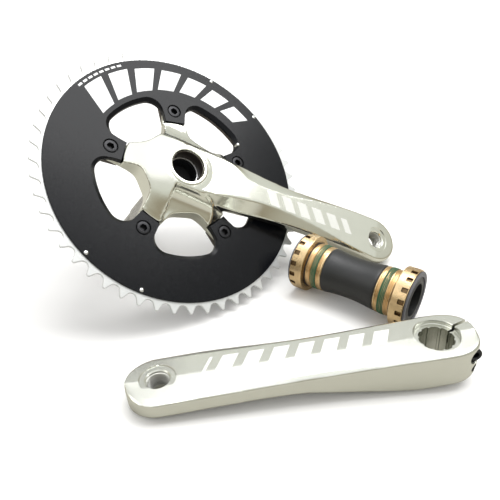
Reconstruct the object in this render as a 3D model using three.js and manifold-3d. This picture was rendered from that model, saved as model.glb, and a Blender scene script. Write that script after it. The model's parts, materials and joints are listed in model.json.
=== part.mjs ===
// A double-chainring bicycle crankset, taken apart and laid on a flat surface (z = 0).
// Three groups lie side by side: the drive side (right crank, spider, chainrings and spindle), the threaded
// bottom bracket with its two outboard bearings, and the left crank with its clamp bolts.
// Units are millimetres, +Z is up, and the origin is the middle of the footprint.
import * as THREE from 'three';
import { mergeVertices } from 'three/addons/utils/BufferGeometryUtils.js';
import Module from 'manifold-3d';

const wasm = await Module();
wasm.setup();

// ---- driving dimensions -------------------------------------------------------------------------

const GAP = 0.3; // clearance between neighbouring pieces
const CRANK_LENGTH = 172.5; // spindle axis to pedal axis
const BOLT_CIRCLE_RADIUS = 55; // five bolts on a 110 mm circle
const BOLT_COUNT = 5;
const CHAIN_PITCH = 12.7;
const ROLLER_RADIUS = 3.9;
const TOOTH_HEIGHT = 6.2; // from the root circle to the tip
const OUTER_TEETH = 52;
const INNER_TEETH = 39;

// Heights along the spindle axis are counted from the outer chainring's outboard face.
const DISC = { radius: 99.4, thickness: 4.6, windowRadius: 64.5, toothTop: -1.4, toothBottom: -3.6 };
const WINDOW_BEVEL = { radius: 67.4, depth: 1.8 }; // sloping edge round the disc's windows
const INNER_RING = { top: -8.9, bottom: -12.4, windowRadius: 69, toothTop: -9.6, toothBottom: -11.6 };
const TAB = { innerRadius: 44.8, halfWidth: 8, splay: 0.13, fillet: 11 };
const INNER_TAB = { innerRadius: 46, halfWidth: 6.8, splay: 0.13, fillet: 5 };
const HUB = { top: 15.4, bottom: -4, radius: 25, flatRadius: 18, lipRadius: 14.2, lipHeight: 0.5 };
const SPIDER = { legBottom: -8.6, tabTop: -4.9, webRadius: 32, legSide: 12.2, legTaper: 0.08, tipReach: 7.2 };
const CREASE = { plus: 18, minus: 17, minusStart: -6 }; // edges of the flat that the hub shares with the arm
const SPINDLE = { radius: 12, bore: 9.8, mouth: 11.2, mouthDepth: 12, top: 5, bottom: -115.5 };
const SPLINE = { count: 10, radius: 10.9, root: 10.1, length: 24 };
const HUB_BORE = SPINDLE.radius + GAP;
const WEB_START = 31.5; // radius where the hub's cone runs out into the spider's legs
const PEDAL_HOLE_RADIUS = 7.15; // 9/16 inch pedal thread
const PEDAL_SEAT = { radius: 10.8, depth: 0.6 };

const BRACKET = { length: 93, flangeRadius: 22, threadRadius: 17.4, flangeWidth: 11.5, cupLength: 25.5 };
const NOTCH = { count: 16, width: 3.6, depth: 1.6, length: 4.5, start: 1.9 };
const SHELL_SEAL = { radius: 17.3, thickness: 1.1, recessRadius: 18.6, recessDepth: 0.6 };
const BEARING = { bore: 13.3, innerGroove: 14.1, innerShoulder: 14.6, pitch: 15.8, ball: 1.4, balls: 10 };
const OUTER_RACE = { groove: 17.55, shoulder: 17.1, outside: 18.6 };
const BEARING_SPAN = [1.6, 8.4]; // from the cup's end face inwards
const BAND_SPAN = [17.4, 21.4]; // the strip of thread locker, from the cup's end face inwards

const LEFT = { bossReach: 25, bossDepth: 28.5, recessRadius: 14.2, recessDepth: 3.5 };
const SLIT = { width: 1.9, offset: -1, slant: 0.3 };
const PINCH = { inset: -19, upper: -9, lower: -18.4, seat: 8, reach: 13 };
const PINCH_BOLT = { shank: 2.5, head: 4.2, headLength: 5, washer: 0.8, socket: 2.3, socketDepth: 2.6 };

// Where each group lies: its own +Z is tilted from vertical towards `heading`, then turned about itself.
const DRIVE_POSE = { position: [-52.9, 370.1, 86.8], tilt: 47.66, heading: -48.68, turn: 49.75 };
const BRACKET_POSE = { position: [78.9, 324.5, 22], tilt: 90, heading: -36.4, turn: 0 };
const LEFT_POSE = { position: [115.6, 250.4, 30.25], tilt: 4.2, heading: 188.4, turn: 0 };

// ---- materials ----------------------------------------------------------------------------------

function finish(color, roughness, metalness) {
  return () => new THREE.MeshStandardMaterial({ color, roughness, metalness });
}
const polishedSilver = finish(0xd9d8d2, 0.18, 1);
const satinSilver = finish(0xd0d0ca, 0.35, 1);
const blackAnodised = finish(0x23272e, 0.42, 0.6);
const toothSilver = finish(0xc9ccd0, 0.3, 1);
const blackSteel = finish(0x17181a, 0.35, 0.8);
const goldAnodised = finish(0xc69a4f, 0.32, 1);
const blackPlastic = finish(0x1f2124, 0.5, 0);
const bearingSteel = finish(0xb8bbc0, 0.25, 1);
const greyRim = finish(0x8e8f96, 0.45, 0.5);
const greenLocker = finish(0x2f7d4c, 0.6, 0);
const blackRubber = finish(0x141414, 0.8, 0);

// ---- solids -------------------------------------------------------------------------------------

function signedVolume(geometry) {
  const p = geometry.attributes.position;
  const index = geometry.index;
  const [a, b, c] = [new THREE.Vector3(), new THREE.Vector3(), new THREE.Vector3()];
  let volume = 0;
  for (let i = 0; i < index.count; i += 3) {
    a.fromBufferAttribute(p, index.getX(i));
    b.fromBufferAttribute(p, index.getX(i + 1));
    c.fromBufferAttribute(p, index.getX(i + 2));
    volume += a.dot(b.cross(c)) / 6;
  }
  return volume;
}

// Keeps positions only, joins shared corners and turns the faces outwards.
function closed(geometry) {
  const plain = geometry.clone();
  plain.deleteAttribute('normal');
  plain.deleteAttribute('uv');
  const merged = mergeVertices(plain, 1e-4);
  if (signedVolume(merged) < 0) {
    const index = merged.index;
    for (let i = 0; i < index.count; i += 3) {
      const first = index.getX(i);
      index.setX(i, index.getX(i + 1));
      index.setX(i + 1, first);
    }
  }
  return merged;
}

function solid(geometry) {
  const merged = closed(geometry);
  return new wasm.Manifold(new wasm.Mesh({
    numProp: 3,
    vertProperties: new Float32Array(merged.attributes.position.array),
    triVerts: new Uint32Array(merged.index.array),
  }));
}

function surface(manifold) {
  const mesh = manifold.getMesh();
  const geometry = new THREE.BufferGeometry();
  geometry.setAttribute('position', new THREE.BufferAttribute(mesh.vertProperties, 3));
  geometry.setIndex(new THREE.BufferAttribute(mesh.triVerts, 1));
  geometry.computeVertexNormals();
  return geometry;
}

function join(...geometries) {
  return surface(geometries.map(solid).reduce((whole, piece) => whole.add(piece)));
}

function cut(body, ...tools) {
  return surface(tools.map(solid).reduce((whole, tool) => whole.subtract(tool), solid(body)));
}

// A closed profile of [radius, height] corners turned about Z.
function turned(profile, segments = 20) {
  const points = [...profile, profile[0]].map(([radius, height]) => new THREE.Vector2(radius, height));
  return closed(new THREE.LatheGeometry(points, segments).rotateX(Math.PI / 2));
}

function tube(inner, outer, low, high, segments = 20) {
  return turned([[inner, low], [outer, low], [outer, high], [inner, high]], segments);
}

function rod(radius, low, high, segments = 20) {
  return new THREE.CylinderGeometry(radius, radius, high - low, segments)
    .rotateX(Math.PI / 2)
    .translate(0, 0, (low + high) / 2);
}

function prism(shape, low, high) {
  return new THREE.ExtrudeGeometry(shape, { depth: high - low, bevelEnabled: false, curveSegments: 1 })
    .translate(0, 0, low);
}

function polarPoint(radius, angle) {
  return new THREE.Vector2(radius * Math.cos(angle), radius * Math.sin(angle));
}

function atPolar(geometry, radius, degrees) {
  const spot = polarPoint(radius, THREE.MathUtils.degToRad(degrees));
  return geometry.clone().translate(spot.x, spot.y, 0);
}

// Joins equal-length rings of points into one skin; `wrap` closes the last ring onto the first.
function skin(rings, wrap) {
  const count = rings[0].length;
  const positions = rings.flat().flatMap((p) => [p.x, p.y, p.z]);
  const index = [];
  const last = wrap ? rings.length : rings.length - 1;
  for (let i = 0; i < last; i += 1) {
    const here = i * count;
    const there = ((i + 1) % rings.length) * count;
    for (let j = 0; j < count; j += 1) {
      const k = (j + 1) % count;
      index.push(here + j, there + j, there + k, here + j, there + k, here + k);
    }
  }
  if (!wrap) {
    for (let j = 1; j < count - 1; j += 1) {
      const end = (rings.length - 1) * count;
      index.push(0, j, j + 1, end, end + j + 1, end + j);
    }
  }
  const geometry = new THREE.BufferGeometry();
  geometry.setAttribute('position', new THREE.Float32BufferAttribute(positions, 3));
  geometry.setIndex(index);
  return closed(geometry);
}

function circlePath(radius, corners) {
  const step = (2 * Math.PI) / corners;
  return new THREE.Path(Array.from({ length: corners }, (_, i) => polarPoint(radius, i * step)));
}

// ---- chainrings ---------------------------------------------------------------------------------

const boltAngles = Array.from({ length: BOLT_COUNT }, (_, i) => 36 + (360 / BOLT_COUNT) * i);

function pitchRadius(teeth) {
  return CHAIN_PITCH / (2 * Math.sin(Math.PI / teeth));
}

// A toothed band whose inner circle lies inside the ring's plate.
function toothBand(teeth, bottom, top) {
  const root = pitchRadius(teeth) - ROLLER_RADIUS;
  const step = (2 * Math.PI) / teeth;
  const tooth = [[-0.17, 0], [0.17, 0], [0.41, TOOTH_HEIGHT], [0.59, TOOTH_HEIGHT]];
  const points = [];
  for (let i = 0; i < teeth; i += 1) {
    for (const [phase, height] of tooth) {
      points.push(polarPoint(root + height, (i + phase) * step));
    }
  }
  const band = new THREE.Shape(points);
  band.holes.push(circlePath(root - 4, 40));
  return prism(band, bottom, top);
}

// One side of a bolt tab and the rounded corner beyond it, as [along, across] from the axis, going outwards.
function tabSide(windowRadius, tab) {
  const { innerRadius, halfWidth, splay, fillet } = tab;
  const along = new THREE.Vector2(Math.cos(splay), Math.sin(splay));
  const base = new THREE.Vector2(innerRadius - fillet * along.y, halfWidth + fillet * along.x);
  const towards = base.dot(along);
  const reach = Math.sqrt(towards ** 2 - base.lengthSq() + (windowRadius - fillet) ** 2) - towards;
  const centre = base.addScaledVector(along, reach);
  const [first, last] = [splay - Math.PI / 2, centre.angle()];
  const corner = [0, 0.33, 0.67, 1].map((share) => (
    polarPoint(fillet, first + (last - first) * share).add(centre)
  ));
  return [new THREE.Vector2(innerRadius, halfWidth), ...corner];
}

// Inner edge of a ring: a bolt tab with straight sides, then an arc to the next tab, five times over.
function innerContour(windowRadius, tab) {
  const side = tabSide(windowRadius, tab);
  const mirrored = side.map((point) => new THREE.Vector2(point.x, -point.y)).reverse();
  const [from, step] = [side[side.length - 1].angle(), (2 * Math.PI) / BOLT_COUNT];
  const arc = [0.2, 0.4, 0.6, 0.8].map((share) => polarPoint(windowRadius, from + (step - 2 * from) * share));
  const tabAndArc = [...mirrored, ...side, ...arc];
  const axis = new THREE.Vector2();
  return boltAngles.map(THREE.MathUtils.degToRad).flatMap((middle) => (
    tabAndArc.map((point) => point.clone().rotateAround(axis, middle))
  ));
}

function ringPlate(radius, windowRadius, tab, bottom, top) {
  const plate = new THREE.Shape(circlePath(radius, 60).getPoints(1));
  plate.holes.push(new THREE.Path(innerContour(windowRadius, tab)));
  return prism(plate, bottom, top);
}

// What the sloping window edges take away: a plug that widens towards the disc's outboard face.
function windowBevelTool() {
  const tab = { ...TAB, halfWidth: TAB.halfWidth + 0.05, innerRadius: TAB.innerRadius - 0.05 };
  const { radius: faceRadius, depth } = WINDOW_BEVEL;
  const levels = [[DISC.windowRadius, -depth], [faceRadius, 0], [faceRadius, 1]];
  const outlines = levels.map(([radius, z]) => (
    innerContour(radius, tab).map((point) => new THREE.Vector3(point.x, point.y, z))
  ));
  const middle = (z) => outlines[0].map(() => new THREE.Vector3(0, 0, z));
  return skin([middle(-depth), ...outlines, middle(1)], false);
}

const BOLT = { head: 4.9, headHeight: 1.8, shank: 3.3, socket: 2.6, socketDepth: 1.5 };
const BOLT_SEAT = { radius: 5.4, depth: 2.4, hole: 4.5 };
const NUT = { inner: 3.6, outer: 4.2, flange: 1.6 };
const SHIFT_PIN = { radius: 1.5, ring: 97.2, angles: [-120.6, -94.4, 58.3, 85.9] };
const CATCH_PIN = { radius: 1.5, ring: 62.6, angle: 49.2, height: 2.5 };

function outerChainring() {
  const teeth = toothBand(OUTER_TEETH, DISC.toothBottom, DISC.toothTop);
  const disc = ringPlate(DISC.radius, DISC.windowRadius, TAB, -DISC.thickness, 0);
  const hole = rod(BOLT_SEAT.hole, -10, 5, 12);
  const seat = rod(BOLT_SEAT.radius, -BOLT_SEAT.depth, 5, 16);
  const pinHole = rod(SHIFT_PIN.radius + GAP, -10, 5, 8);
  const catchHole = rod(CATCH_PIN.radius + GAP, -10, 5, 8);
  return cut(
    join(teeth, disc),
    ...boltAngles.flatMap((angle) => [hole, seat].map((tool) => atPolar(tool, BOLT_CIRCLE_RADIUS, angle))),
    ...SHIFT_PIN.angles.map((angle) => atPolar(pinHole, SHIFT_PIN.ring, angle)),
    atPolar(catchHole, CATCH_PIN.ring, CATCH_PIN.angle),
    windowBevelTool(),
  );
}

function innerChainring() {
  const plateRadius = pitchRadius(INNER_TEETH) - ROLLER_RADIUS - 1.2;
  const teeth = toothBand(INNER_TEETH, INNER_RING.toothBottom, INNER_RING.toothTop);
  const plate = ringPlate(plateRadius, INNER_RING.windowRadius, INNER_TAB, INNER_RING.bottom, INNER_RING.top);
  const hole = rod(BOLT_SEAT.hole, -20, 0, 12);
  const seat = rod(BOLT_SEAT.radius, -20, INNER_RING.bottom + NUT.flange, 16);
  return cut(
    join(teeth, plate),
    ...boltAngles.flatMap((angle) => [hole, seat].map((tool) => atPolar(tool, BOLT_CIRCLE_RADIUS, angle))),
  );
}

function chainringBolt() {
  const seat = -BOLT_SEAT.depth + GAP;
  const head = rod(BOLT.head, seat, seat + BOLT.headHeight, 16);
  const shank = rod(BOLT.shank, INNER_RING.bottom + NUT.flange, seat + 0.1, 12);
  const socket = rod(BOLT.socket, seat - BOLT.socketDepth, 5, 6);
  return cut(join(head, shank), socket);
}

function chainringNut() {
  const flangeTop = INNER_RING.bottom + NUT.flange - GAP;
  return turned([
    [NUT.inner, flangeTop - NUT.flange],
    [BOLT.head, flangeTop - NUT.flange],
    [BOLT.head, flangeTop],
    [NUT.outer, flangeTop],
    [NUT.outer, -DISC.thickness],
    [NUT.inner, -DISC.thickness],
  ], 12);
}

function shiftPin() {
  return turned([[0, -6.4], [SHIFT_PIN.radius, -6.4], [SHIFT_PIN.radius, 0.2], [1, 0.55], [0, 0.55]], 8);
}

function catchPin() {
  const { radius, height } = CATCH_PIN;
  return turned([[0, -4.4], [radius, -4.4], [radius, height - 0.6], [radius - 0.6, height], [0, height]], 8);
}

// ---- crank arms ---------------------------------------------------------------------------------

const easing = (t) => t * t * (3 - 2 * t);

// Smooth value at x through [x, value] stations.
function along(stations, x) {
  if (x <= stations[0][0]) return stations[0][1];
  for (let i = 1; i < stations.length; i += 1) {
    const [x0, v0] = stations[i - 1];
    const [x1, v1] = stations[i];
    if (x <= x1) return v0 + (v1 - v0) * easing((x - x0) / (x1 - x0));
  }
  return stations[stations.length - 1][1];
}

const PEDAL_END_RADIUS = 19.5;
const BACK_SHARE = 0.78; // width of an arm's flat back over its full width

// How much of its width the arm keeps at x: all of it between the axes, less round the two ends.
function endShare(x, bossReach) {
  if (x > CRANK_LENGTH) return Math.sqrt(1 - ((x - CRANK_LENGTH) / PEDAL_END_RADIUS) ** 2);
  if (x < 0) return (1 - (-x / bossReach) ** 2.6) ** (1 / 2.6);
  return 1;
}

// One side of the eight-cornered section: flat back, upright side, sloping flank and flat outer face.
function armSide(x, { edge, flat, drop, sag }, { top, bottom, bossReach }) {
  const share = endShare(x, bossReach);
  const [upper, lower] = [along(top, x), along(bottom, x)];
  const half = along(edge, x) * share;
  const side = upper - along(drop, x);
  const lift = Math.min(4, (side - lower) * 0.35);
  return [
    [half * BACK_SHARE, lower],
    [half, lower + lift],
    [half, side],
    [along(flat, x) * share, upper - sag],
  ];
}

function armBody(stationsX, shape) {
  return skin(stationsX.map((x) => {
    const plusSide = armSide(x, shape.plus, shape);
    const minusSide = armSide(x, shape.minus, shape).map(([y, z]) => [-y, z]).reverse();
    const ridge = [0, along(shape.top, x)];
    return [...plusSide, ridge, ...minusSide].map(([y, z]) => new THREE.Vector3(x, y, z));
  }), false);
}

const pedalEndX = [0.35, 0.62, 0.82, 0.95, 0.995].map((share) => CRANK_LENGTH + PEDAL_END_RADIUS * share);

function pedalHoleTools(faceHeight) {
  return [
    rod(PEDAL_HOLE_RADIUS, -60, 60, 24),
    rod(PEDAL_SEAT.radius, faceHeight - PEDAL_SEAT.depth, 60, 24),
  ].map((tool) => tool.translate(CRANK_LENGTH, 0, 0));
}

const DRIVE_ARM = {
  bossReach: PEDAL_END_RADIUS,
  top: [[0, HUB.top], [24, HUB.top], [CRANK_LENGTH, 25]],
  bottom: [[0, -2], [30, -2], [44, 1.2], [90, 3.5], [CRANK_LENGTH, 12]],
  plus: {
    edge: [[0, 21.5], [45, 20.5], [82, 18.8], [116, 19.5], [150, 20.2], [CRANK_LENGTH, PEDAL_END_RADIUS]],
    flat: [[0, 17.5], [34, 17.5], [54, 9.5], [86, 10.5], [115, 15.5], [150, 18], [CRANK_LENGTH, 17.6]],
    drop: [[0, 2.5], [45, 3], [90, 3.6], [150, 2.2], [CRANK_LENGTH, 1.8]],
    sag: 0,
  },
  minus: {
    edge: [[0, 20], [40, 18], [74, 14.5], [112, 13.8], [150, 17], [CRANK_LENGTH, PEDAL_END_RADIUS]],
    flat: [[0, 16], [20, 15], [40, 10], [74, 4.8], [112, 7], [150, 14.5], [CRANK_LENGTH, 17.6]],
    drop: [[0, 5], [45, 7.5], [90, 4.5], [150, 2.2], [CRANK_LENGTH, 1.8]],
    sag: 0,
  },
};

function spiderOutline(angle) {
  const offset = Math.abs(angle);
  const side = SPIDER.legSide / (Math.sin(offset) + SPIDER.legTaper);
  const legEnd = BOLT_CIRCLE_RADIUS + SPIDER.tipReach;
  const blended = (SPIDER.webRadius ** 6 + side ** 6) ** (1 / 6);
  return Math.min(legEnd / Math.cos(Math.min(offset, 0.2)), blended);
}

// Height of the spider's outboard side: a cone round the hub, cut lower beyond the creases of the arm's flat.
function spiderTop(x, y) {
  const cone = along([[0, HUB.top], [HUB.flatRadius, HUB.top], [46, -0.4], [70, -1]], Math.hypot(x, y));
  const beyond = Math.max(y - CREASE.plus, x > CREASE.minusStart ? -y - CREASE.minus : 0);
  return Math.min(cone, along([[0, HUB.top], [3, 9], [10, 3.5], [20, -0.4]], beyond));
}

// The spider without its holes: a skin of sections, one for each direction round the axis.
function spiderBody() {
  const fractions = [-1, -0.74, -0.52, -0.38, -0.28, -0.185, 0.185, 0.28, 0.38, 0.52, 0.74];
  const halfStep = Math.PI / BOLT_COUNT;
  const rings = [];
  for (const middle of boltAngles) {
    for (const fraction of fractions) {
      const offset = fraction * halfStep;
      const edge = spiderOutline(offset);
      const direction = polarPoint(1, THREE.MathUtils.degToRad(middle) + offset);
      const radii = [HUB_BORE, HUB.flatRadius, HUB.radius, WEB_START + (edge - WEB_START) * 0.4, edge];
      const top = radii.map((r) => [r, spiderTop(direction.x * r, direction.y * r)]);
      const back = [
        [edge, SPIDER.legBottom],
        [HUB.radius + 2, SPIDER.legBottom],
        [HUB.radius, HUB.bottom],
        [HUB_BORE, HUB.bottom],
      ];
      rings.push([...top, ...back].map(([r, z]) => new THREE.Vector3(direction.x * r, direction.y * r, z)));
    }
  }
  return skin(rings, true);
}

function driveArm() {
  const stations = [6, 24, 38, 54, 74, 96, 122, 148, CRANK_LENGTH, ...pedalEndX];
  const tabRecess = tube(TAB.innerRadius - GAP, 75, SPIDER.tabTop, HUB.top + 1, 30);
  const spider = cut(spiderBody(), tabRecess);
  const lip = tube(HUB_BORE - 0.5, HUB.lipRadius, HUB.top - 1, HUB.top + HUB.lipHeight, 32);
  const hole = rod(BOLT_SEAT.hole, -20, 5, 12);
  return cut(
    join(spider, armBody(stations, DRIVE_ARM), lip),
    rod(HUB_BORE, -30, 30, 32),
    ...boltAngles.map((angle) => atPolar(hole, BOLT_CIRCLE_RADIUS, angle)),
    ...pedalHoleTools(DRIVE_ARM.top[2][1]),
  );
}

function splinedShape(outer, inner) {
  const points = [];
  const step = (2 * Math.PI) / SPLINE.count;
  for (let i = 0; i < SPLINE.count; i += 1) {
    const phases = [[-0.34, outer], [0, outer], [0.34, outer], [0.4, inner], [0.6, inner]];
    for (const [phase, radius] of phases) points.push(polarPoint(radius, (i + phase) * step));
  }
  return new THREE.Shape(points);
}

function spindle() {
  const splineTop = SPINDLE.bottom + SPLINE.length;
  const shaft = rod(SPINDLE.radius, splineTop, SPINDLE.top, 32);
  const spline = prism(splinedShape(SPLINE.radius, SPLINE.root), SPINDLE.bottom, splineTop + 0.1);
  const bore = rod(SPINDLE.bore, SPINDLE.bottom - 5, SPINDLE.top + 5, 28);
  const mouth = rod(SPINDLE.mouth, SPINDLE.top - SPINDLE.mouthDepth, SPINDLE.top + 5, 28);
  return cut(join(shaft, spline), bore, mouth);
}

const LEFT_ARM = {
  bossReach: LEFT.bossReach,
  top: [[0, 0], [CRANK_LENGTH, 0]],
  bottom: [
    [-LEFT.bossReach, -20],
    [-16, -27],
    [0, -LEFT.bossDepth],
    [22, -LEFT.bossDepth],
    [95, -17],
    [CRANK_LENGTH, -15.6],
  ],
  plus: {
    edge: [[0, 19.5], [82, 17.5], [140, 18.6], [CRANK_LENGTH, PEDAL_END_RADIUS]],
    flat: [[0, 17.5], [26, 16.5], [80, 14.5], [150, 14.5], [CRANK_LENGTH, 15]],
    drop: [[0, 2.4], [26, 2.6], [80, 3.6], [150, 3], [CRANK_LENGTH, 2.8]],
    sag: 1.4,
  },
  minus: {
    edge: [[0, 19.5], [82, 17.8], [140, 20], [CRANK_LENGTH, PEDAL_END_RADIUS]],
    flat: [[0, 18], [26, 16.5], [80, 14.5], [150, 16], [CRANK_LENGTH, 16]],
    drop: [[0, 1.6], [26, 1.8], [80, 2.2], [150, 2.2], [CRANK_LENGTH, 2.2]],
    sag: 0,
  },
};

const acrossArm = (geometry, z) => geometry.rotateX(-Math.PI / 2).translate(PINCH.inset, 0, z);

// Holes for one clamp bolt, which enters from the side given by `side` (+1 or -1 along Y).
function pinchHole(z, side) {
  const shankHole = acrossArm(rod(PINCH_BOLT.shank + GAP, -40, 40, 12), z);
  const [low, high] = side > 0 ? [PINCH.seat, 40] : [-40, -PINCH.seat];
  return [shankHole, acrossArm(rod(PINCH_BOLT.head + GAP, low, high, 16), z)];
}

function leftArm() {
  const bossX = [0.99, 0.94, 0.82, 0.6].map((share) => -LEFT.bossReach * share);
  const stations = [...bossX, 0, 12, 26, 45, 65, 85, 105, 130, 152, CRANK_LENGTH, ...pedalEndX];
  const bore = prism(splinedShape(SPLINE.radius + GAP, SPLINE.root + GAP), -40, 10);
  const recess = rod(LEFT.recessRadius, -LEFT.recessDepth, 10, 28);
  const slit = new THREE.BoxGeometry(40, SLIT.width, 80)
    .translate(-20, SLIT.offset, 0)
    .rotateZ(SLIT.slant);
  return cut(
    armBody(stations, LEFT_ARM),
    bore,
    recess,
    slit,
    ...pinchHole(PINCH.upper, 1),
    ...pinchHole(PINCH.lower, -1),
    ...pedalHoleTools(0),
  );
}

// A clamp bolt lying along Y with its head on the +Y side; `side` of -1 turns it round.
function pinchBolt(z, side) {
  const seat = PINCH.seat + PINCH_BOLT.washer + 2 * GAP;
  const head = rod(PINCH_BOLT.head, seat, seat + PINCH_BOLT.headLength, 16);
  const shank = rod(PINCH_BOLT.shank, -PINCH.reach, seat + 0.1, 12);
  const socketFloor = seat + PINCH_BOLT.headLength - PINCH_BOLT.socketDepth;
  const socket = rod(PINCH_BOLT.socket, socketFloor, seat + 20, 6);
  const bolt = cut(join(head, shank), socket);
  if (side < 0) bolt.rotateX(Math.PI);
  return acrossArm(bolt, z);
}

function pinchWasher(z, side) {
  const low = PINCH.seat + GAP;
  const washer = tube(PINCH_BOLT.shank + GAP, PINCH_BOLT.head, low, low + PINCH_BOLT.washer, 16);
  if (side < 0) washer.rotateX(Math.PI);
  return acrossArm(washer, z);
}

// ---- bottom bracket -----------------------------------------------------------------------------
// Profiles run from the cup's end face (height 0) inwards along negative heights.

function cup() {
  const { flangeRadius: flange, threadRadius: thread, flangeWidth: width, cupLength: length } = BRACKET;
  const seat = OUTER_RACE.outside + GAP;
  const { recessRadius, recessDepth } = SHELL_SEAL;
  const body = turned([
    [flange - 0.8, -1.4],
    [flange, -2.2],
    [flange, -width],
    [recessRadius, -width],
    [recessRadius, -width + recessDepth],
    [thread - 1, -width + recessDepth],
    [thread - 1, -width - 1.5],
    [thread, -width - 1.5],
    [thread, -length],
    [15.9, -length],
    [15.9, -BEARING_SPAN[1] - GAP],
    [seat, -BEARING_SPAN[1] - GAP],
    [seat, -1.4],
  ], 32);
  const notch = new THREE.BoxGeometry(2 * NOTCH.depth, NOTCH.width, NOTCH.length)
    .translate(flange, 0, -NOTCH.start - NOTCH.length / 2);
  const step = (2 * Math.PI) / NOTCH.count;
  const notches = Array.from({ length: NOTCH.count }, (_, i) => notch.clone().rotateZ(i * step));
  const band = tube(thread - 0.5, thread + 2, -BAND_SPAN[1] - GAP, -BAND_SPAN[0] + GAP, 32);
  return cut(body, ...notches, band);
}

function threadBand() {
  const { threadRadius: thread } = BRACKET;
  return tube(thread - 0.2, thread + 0.3, -BAND_SPAN[1], -BAND_SPAN[0], 32);
}

function rimCover() {
  const { flangeRadius: flange } = BRACKET;
  return turned([[17.2, -1.1], [flange - 0.8, -1.1], [flange - 0.8, -0.4], [flange - 1.4, 0], [17.2, 0]], 32);
}

function dustCover() {
  return turned([
    [12.3, -6],
    [13, -6],
    [13, -1.3],
    [16.8, -1.3],
    [16.8, -0.7],
    [13.4, -0.3],
    [12.3, -0.3],
  ]);
}

function innerRace() {
  const { bore, innerGroove: groove, innerShoulder: shoulder } = BEARING;
  const [near, far] = BEARING_SPAN;
  const middle = (near + far) / 2;
  return turned([
    [bore, -far],
    [shoulder, -far],
    [shoulder, -middle - 1.4],
    [groove, -middle],
    [shoulder, -middle + 1.4],
    [shoulder, -near],
    [bore, -near],
  ]);
}

function outerRace() {
  const { groove, shoulder, outside } = OUTER_RACE;
  const [near, far] = BEARING_SPAN;
  const middle = (near + far) / 2;
  return turned([
    [shoulder, -far],
    [outside, -far],
    [outside, -near],
    [shoulder, -near],
    [shoulder, -middle + 1.4],
    [groove, -middle],
    [shoulder, -middle - 1.4],
  ]);
}

function ballSet() {
  const middle = (BEARING_SPAN[0] + BEARING_SPAN[1]) / 2;
  const cage = tube(BEARING.pitch - 0.5, BEARING.pitch + 0.4, -middle - 0.7, -middle + 0.7);
  const ball = new THREE.IcosahedronGeometry(BEARING.ball);
  const balls = Array.from({ length: BEARING.balls }, (_, i) => (
    atPolar(ball, BEARING.pitch, (360 / BEARING.balls) * i).translate(0, 0, -middle)
  ));
  return join(cage, ...balls);
}

function sealRing() {
  const ring = new THREE.TorusGeometry(SHELL_SEAL.radius, SHELL_SEAL.thickness / 2, 5, 24);
  return closed(ring.translate(0, 0, -BRACKET.flangeWidth - 0.6));
}

function shellSleeve() {
  const half = BRACKET.length / 2;
  const shoulder = half - BRACKET.cupLength - GAP;
  const spigot = shoulder + 7;
  const outside = [[-spigot, 15.5], [-shoulder, 15.5], [-shoulder, 17.2], [-shoulder + 2, 17]];
  const waist = [-8, 0, 8].map((z) => [z, 15.7 + 0.9 * (z / 14) ** 2]);
  const profile = [
    ...outside,
    ...waist,
    ...outside.slice().reverse().map(([z, r]) => [-z, r]),
  ].map(([z, r]) => [r, z]);
  return turned([...profile, [14, spigot], [14, -spigot]]);
}

// ---- assembly -----------------------------------------------------------------------------------

function piece(group, name, geometry, material) {
  const mesh = new THREE.Mesh(geometry, material());
  mesh.name = name;
  group.add(mesh);
  return mesh;
}

function laid({ position, tilt, heading, turn }) {
  const { degToRad } = THREE.MathUtils;
  const group = new THREE.Group();
  const [up, across] = [new THREE.Vector3(0, 0, 1), new THREE.Vector3(0, 1, 0)];
  group.position.set(...position);
  group.quaternion
    .setFromAxisAngle(up, degToRad(heading))
    .multiply(new THREE.Quaternion().setFromAxisAngle(across, degToRad(tilt)))
    .multiply(new THREE.Quaternion().setFromAxisAngle(up, degToRad(turn)));
  return group;
}

function driveSide() {
  const group = laid(DRIVE_POSE);
  piece(group, 'drive_crank_arm', driveArm(), polishedSilver);
  piece(group, 'spindle', spindle(), blackSteel);
  piece(group, 'outer_chainring', outerChainring(), blackAnodised);
  piece(group, 'inner_chainring', innerChainring(), toothSilver);
  piece(group, 'spindle_washer', tube(SPINDLE.radius + GAP, 16, -5.6, HUB.bottom - GAP), blackPlastic);
  boltAngles.forEach((angle, i) => {
    piece(group, `chainring_bolt_${i + 1}`, atPolar(chainringBolt(), BOLT_CIRCLE_RADIUS, angle), blackSteel);
    piece(group, `chainring_nut_${i + 1}`, atPolar(chainringNut(), BOLT_CIRCLE_RADIUS, angle), blackSteel);
  });
  SHIFT_PIN.angles.forEach((angle, i) => {
    piece(group, `shift_pin_${i + 1}`, atPolar(shiftPin(), SHIFT_PIN.ring, angle), bearingSteel);
  });
  piece(group, 'chain_catch_pin', atPolar(catchPin(), CATCH_PIN.ring, CATCH_PIN.angle), bearingSteel);
  return group;
}

function bearingCup(side) {
  const group = new THREE.Group();
  piece(group, `${side}_cup`, cup(), goldAnodised);
  piece(group, `${side}_thread_band`, threadBand(), greenLocker);
  piece(group, `${side}_shell_seal`, sealRing(), blackRubber);
  piece(group, `${side}_rim_cover`, rimCover(), greyRim);
  piece(group, `${side}_dust_cover`, dustCover(), blackPlastic);
  piece(group, `${side}_inner_race`, innerRace(), bearingSteel);
  piece(group, `${side}_outer_race`, outerRace(), bearingSteel);
  piece(group, `${side}_ball_set`, ballSet(), bearingSteel);
  return group;
}

function bottomBracket() {
  const group = laid(BRACKET_POSE);
  const right = bearingCup('right');
  right.position.z = BRACKET.length / 2;
  const left = bearingCup('left');
  left.rotation.x = Math.PI;
  left.position.z = -BRACKET.length / 2;
  group.add(right, left);
  piece(group, 'shell_sleeve', shellSleeve(), blackPlastic);
  return group;
}

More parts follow.
